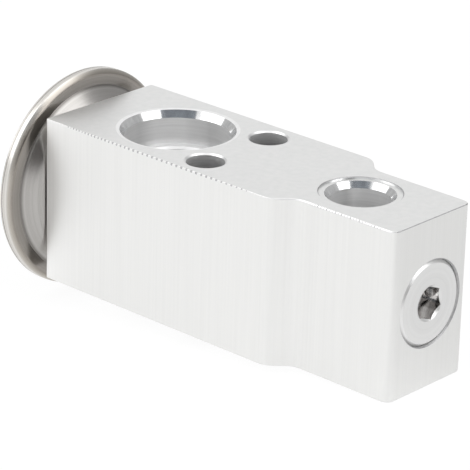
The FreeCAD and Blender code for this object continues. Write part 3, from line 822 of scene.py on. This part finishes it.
# The other nodes keep their solids and get a finish.
finishes = {
    "head_fill_plug": turned_steel,
    "head_diaphragm": spring_metal,
    "head_seal": rubber,
    "diaphragm_stop": turned_steel,
    "sensing_rod": rod_metal,
    "rod_seal": rubber,
    "rod_seal_retainer": spring_metal,
    "actuating_pin": turned_steel,
    "valve_ball": ball_metal,
    "ball_carrier": turned_steel,
    "damper_spring": spring_metal,
    "plug_seal": rubber,
}
for name, finish in finishes.items():
    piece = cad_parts[name]
    piece.data.materials.clear()
    piece.data.materials.append(finish)


# The stage: a floor through the lowest point of the head's rim and the block's far bottom edge


def quad(name, centre, across, up, width, height, material):
    centre, across, up = Vector(centre), Vector(across).normalized(), Vector(up).normalized()
    corners = []
    for side, rise in ((-1, -1), (1, -1), (1, 1), (-1, 1)):
        corners.append((centre + across * (side * width / 2) + up * (rise * height / 2)) / MM)
    piece = mesh(name, corners, [[0, 1, 2, 3]], material, None)
    return piece


def by_ray(tree, ray, value, otherwise):
    """A number that depends on the kind of ray."""
    rays = node(tree, "ShaderNodeLightPath")
    pick = node(tree, "ShaderNodeMapRange")
    pick.inputs["To Min"].default_value = otherwise
    pick.inputs["To Max"].default_value = value
    tree.links.new(rays.outputs[ray], pick.inputs["Value"])
    return pick.outputs[0]


def mixed_floor():
    """White for the camera and, as painted light and shade, glowing 1.2 to 0.9 in the metal, with a share
    that takes the object's shadow: a small one for the camera, more in the metal.
    """
    material = bpy.data.materials.new("floor")
    material.use_nodes = True
    tree = material.node_tree
    tree.nodes.clear()
    glow = node(tree, "ShaderNodeEmission")
    matt = node(tree, "ShaderNodeBsdfDiffuse")
    matt.inputs["Color"].default_value = (0.9, 0.9, 0.9, 1)
    mix = node(tree, "ShaderNodeMixShader")
    out = node(tree, "ShaderNodeOutputMaterial")
    place = node(tree, "ShaderNodeTexCoord")
    parts = node(tree, "ShaderNodeSeparateXYZ")
    # Painted reflection: the glow that the metal sees falls from 1.2 to 0.9 towards +X and +Y, where the plug
    # end's face looks, as painted shade in its reflection
    across = node(tree, "ShaderNodeMath", operation="ADD")
    painted_reflection_ramp = node(tree, "ShaderNodeMapRange")
    for socket, value in (("From Min", 0.025), ("From Max", 0.08), ("To Min", 1.2), ("To Max", 0.9)):
        painted_reflection_ramp.inputs[socket].default_value = value
    rays = node(tree, "ShaderNodeLightPath")
    pick = node(tree, "ShaderNodeMix", data_type="FLOAT")
    pick.inputs["B"].default_value = 1.05
    tree.links.new(place.outputs["Object"], parts.inputs[0])
    tree.links.new(parts.outputs["X"], across.inputs[0])
    tree.links.new(parts.outputs["Y"], across.inputs[1])
    tree.links.new(across.outputs[0], painted_reflection_ramp.inputs["Value"])
    tree.links.new(rays.outputs["Is Camera Ray"], pick.inputs["Factor"])
    tree.links.new(painted_reflection_ramp.outputs[0], pick.inputs["A"])
    tree.links.new(pick.outputs[0], glow.inputs["Strength"])
    tree.links.new(by_ray(tree, "Is Camera Ray", 0.12, 0.42), mix.inputs[0])
    tree.links.new(glow.outputs[0], mix.inputs[1])
    tree.links.new(matt.outputs[0], mix.inputs[2])
    tree.links.new(mix.outputs[0], out.inputs[0])
    return material


FLOOR_SIZE = 6
FLOOR_GAP = 0.02 * MM
rim_low = Vector((-34.5, 0, AXIS_Z - RIM_RADIUS)) * MM
end_low = Vector((PLUG_END_X - EDGE_BREAK, 0, 0)) * MM
slope = (end_low - rim_low).normalized()
floor_up = Vector((-slope.z, 0, slope.x))
floor_middle = (rim_low + end_low) / 2 - floor_up * FLOOR_GAP
quad("floor", floor_middle, slope, (0, 1, 0), FLOOR_SIZE, FLOOR_SIZE, mixed_floor())


def plain_emission(name, colour, strength):
    material = bpy.data.materials.new(name)
    material.use_nodes = True
    tree = material.node_tree
    tree.nodes.clear()
    glow = node(tree, "ShaderNodeEmission", Strength=strength)
    glow.inputs["Color"].default_value = (*colour, 1)
    out = node(tree, "ShaderNodeOutputMaterial")
    tree.links.new(glow.outputs[0], out.inputs[0])
    return material


# Camera, placed from the block's edges in the photograph
CAMERA_PLACE = Vector((284.66, -315.17, 187.10)) * MM
CAMERA_RIGHT = Vector((0.73481, 0.67779, 0.02552))
CAMERA_UP = Vector((-0.27422, 0.26246, 0.92516))
CAMERA_BACK = Vector((0.62037, -0.68681, 0.37872))
FOCAL_PIXELS = 2864.92
PICTURE_PIXELS = 470

lens = bpy.data.cameras.new("camera")
lens.sensor_width = 36
lens.lens = FOCAL_PIXELS / PICTURE_PIXELS * lens.sensor_width
lens.clip_start = 0.01
lens.clip_end = 20
camera = bpy.data.objects.new("camera", lens)
bpy.context.scene.collection.objects.link(camera)
turn = Matrix((CAMERA_RIGHT, CAMERA_UP, CAMERA_BACK)).transposed().to_4x4()
camera.matrix_world = Matrix.Translation(CAMERA_PLACE) @ turn
bpy.context.scene.camera = camera


# Light


def direction(azimuth, elevation):
    """Unit vector; azimuth 0 looks from -Y and grows towards +X, in degrees."""
    azimuth, elevation = math.radians(azimuth), math.radians(elevation)
    return Vector((math.sin(azimuth) * math.cos(elevation), -math.cos(azimuth) * math.cos(elevation),
                   math.sin(elevation)))


CENTRE = Vector((4, 0, AXIS_Z)) * MM


def softbox(name, azimuth, elevation, distance, width, height, radiance):
    """Area light that faces the object, with the brightness it has in a mirror."""
    light = bpy.data.lights.new(name, "AREA")
    light.shape = "RECTANGLE"
    light.size = width
    light.size_y = height
    light.energy = radiance * math.pi * width * height
    lamp = bpy.data.objects.new(name, light)
    bpy.context.scene.collection.objects.link(lamp)
    way = direction(azimuth, elevation)
    lamp.location = CENTRE + way * distance
    lamp.rotation_euler = way.to_track_quat("Z", "Y").to_euler()
    lamp.visible_camera = False


def dark_card(name, azimuth, elevation, distance, width, height, colour):
    way = direction(azimuth, elevation)
    across = way.cross(Vector((0, 0, 1))).normalized()
    card = quad(name, CENTRE + way * distance, across, across.cross(way), width, height,
                plain_emission(name, colour, 1.0))
    card.visible_camera = False
    card.visible_shadow = False
    card.visible_diffuse = False


CAMERA_AZIMUTH = 42.1
softbox("left_box", CAMERA_AZIMUTH - 84, 40, 0.9, 0.7, 0.9, 1.2)
softbox("right_box", CAMERA_AZIMUTH + 62, 40, 0.9, 0.7, 0.9, 1.2)
dark_card("camera_side", CAMERA_AZIMUTH, 47.5, 0.8, 0.92, 0.29, (0.22, 0.24, 0.265))
dark_card("camera_low", CAMERA_AZIMUTH, 6, 0.8, 0.8, 0.32, (0.6, 0.6, 0.6))
dark_card("right_gap", CAMERA_AZIMUTH + 34, 16, 0.7, 0.4, 0.34, (0.06, 0.05, 0.045))
dark_card("left_side", CAMERA_AZIMUTH - 122, 15, 1.5, 1.8, 1.2, (0.52, 0.52, 0.52))
dark_card("right_side", CAMERA_AZIMUTH + 122, 17, 1.5, 1.8, 1.35, (0.5, 0.5, 0.5))
dark_card("far_side", CAMERA_AZIMUTH + 180, 16, 1.6, 1.6, 1.0, (0.88, 0.88, 0.88))

world = bpy.data.worlds.new("studio")
bpy.context.scene.world = world
world.use_nodes = True
sky = world.node_tree
sky.nodes.clear()
rays = node(sky, "ShaderNodeLightPath")
seen = node(sky, "ShaderNodeMath", operation="MAXIMUM")
mirrored = node(sky, "ShaderNodeMath", operation="MAXIMUM")
strength = node(sky, "ShaderNodeMapRange")
strength.inputs["To Min"].default_value = 0.6
strength.inputs["To Max"].default_value = 1.0
background = node(sky, "ShaderNodeBackground")
background.inputs["Color"].default_value = (1, 1, 1, 1)
out = node(sky, "ShaderNodeOutputWorld")
sky.links.new(rays.outputs["Is Camera Ray"], seen.inputs[0])
sky.links.new(rays.outputs["Is Glossy Ray"], seen.inputs[1])
sky.links.new(seen.outputs[0], mirrored.inputs[0])
sky.links.new(rays.outputs["Is Transmission Ray"], mirrored.inputs[1])
sky.links.new(mirrored.outputs[0], strength.inputs["Value"])
sky.links.new(strength.outputs[0], background.inputs["Strength"])
sky.links.new(background.outputs[0], out.inputs[0])
bpy.context.scene.view_settings.view_transform = "Standard"
